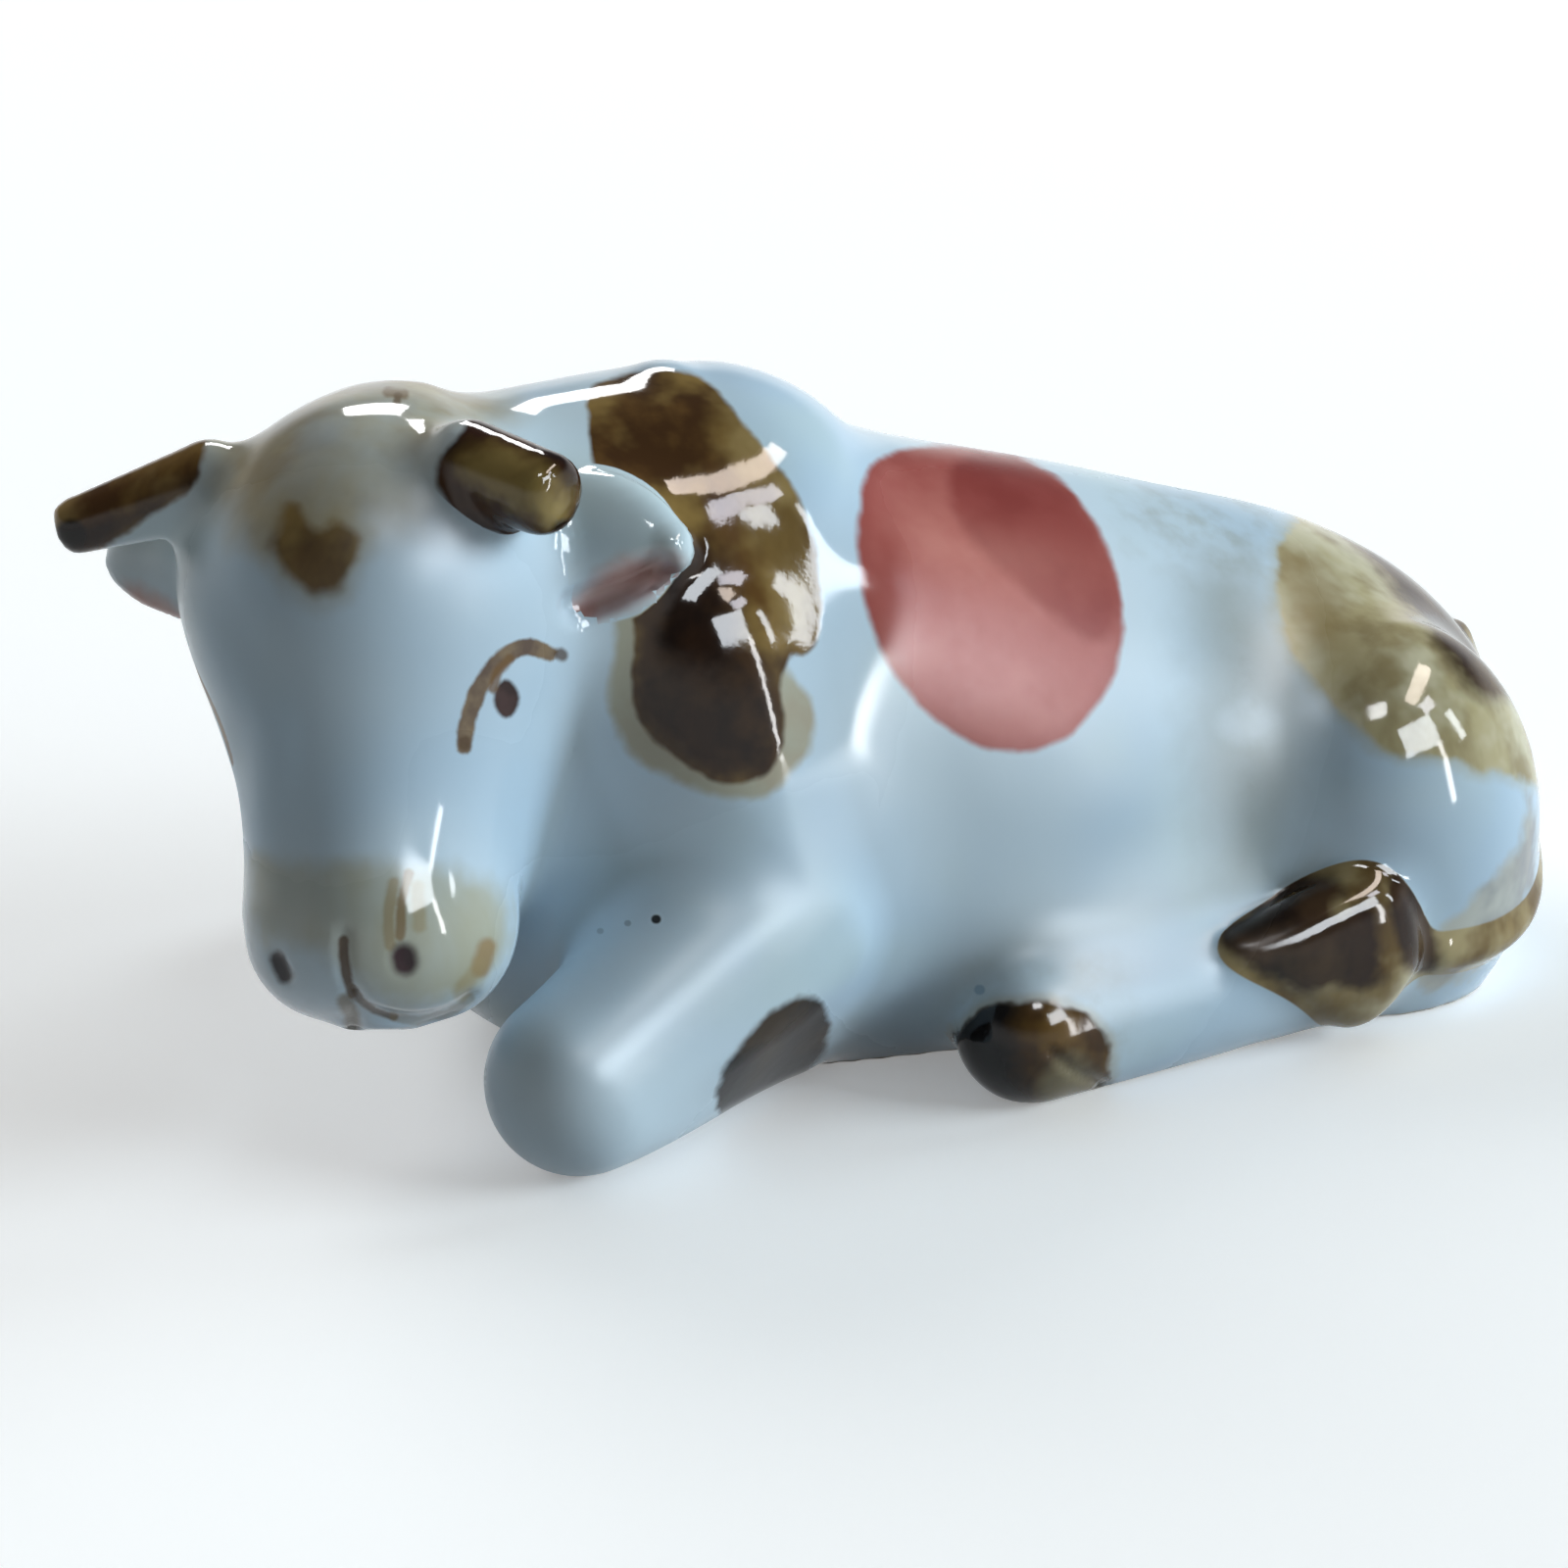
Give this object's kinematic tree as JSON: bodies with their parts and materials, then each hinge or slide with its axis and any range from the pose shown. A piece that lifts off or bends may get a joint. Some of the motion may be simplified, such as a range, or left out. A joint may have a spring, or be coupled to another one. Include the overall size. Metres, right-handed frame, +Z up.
{
  "type": "cow figurine",
  "caption": "Small lying cow figurine in glazed ceramic, head turned to its left, legs folded, tail curled onto the haunch, on a flat foot.",
  "frame": {"origin": "middle of the torso's flat underside, on the surface that the figurine stands on", "axes": "+Z up, -X towards the head end, +X towards the rump, -Y towards the cow's left flank"},
  "size_m": [0.0979, 0.0492, 0.0441],
  "materials": {
    "white_glaze": "clear glaze over white porcelain with brush-painted brown, tan and pink patches",
    "head_glaze": "clear glaze over white porcelain with an olive-tan wash and painted eyes and nostrils",
    "ear_glaze": "clear glaze over white porcelain, pink inside",
    "horn_glaze": "clear glaze over brown and olive brushwork",
    "leg_glaze": "clear glaze over white porcelain with near-black hooves",
    "tail_glaze": "clear glaze over tan and dark brown brushwork"
  },
  "bodies": {
    "root": {"torso": "white_glaze", "head": "head_glaze", "left_ear": "ear_glaze", "right_ear": "ear_glaze", "left_horn": "horn_glaze", "right_horn": "horn_glaze", "left_foreleg": "leg_glaze", "right_foreleg": "leg_glaze", "left_hind_leg": "leg_glaze", "right_hind_leg": "leg_glaze", "tail": "tail_glaze"}
  },
  "joints": []
}
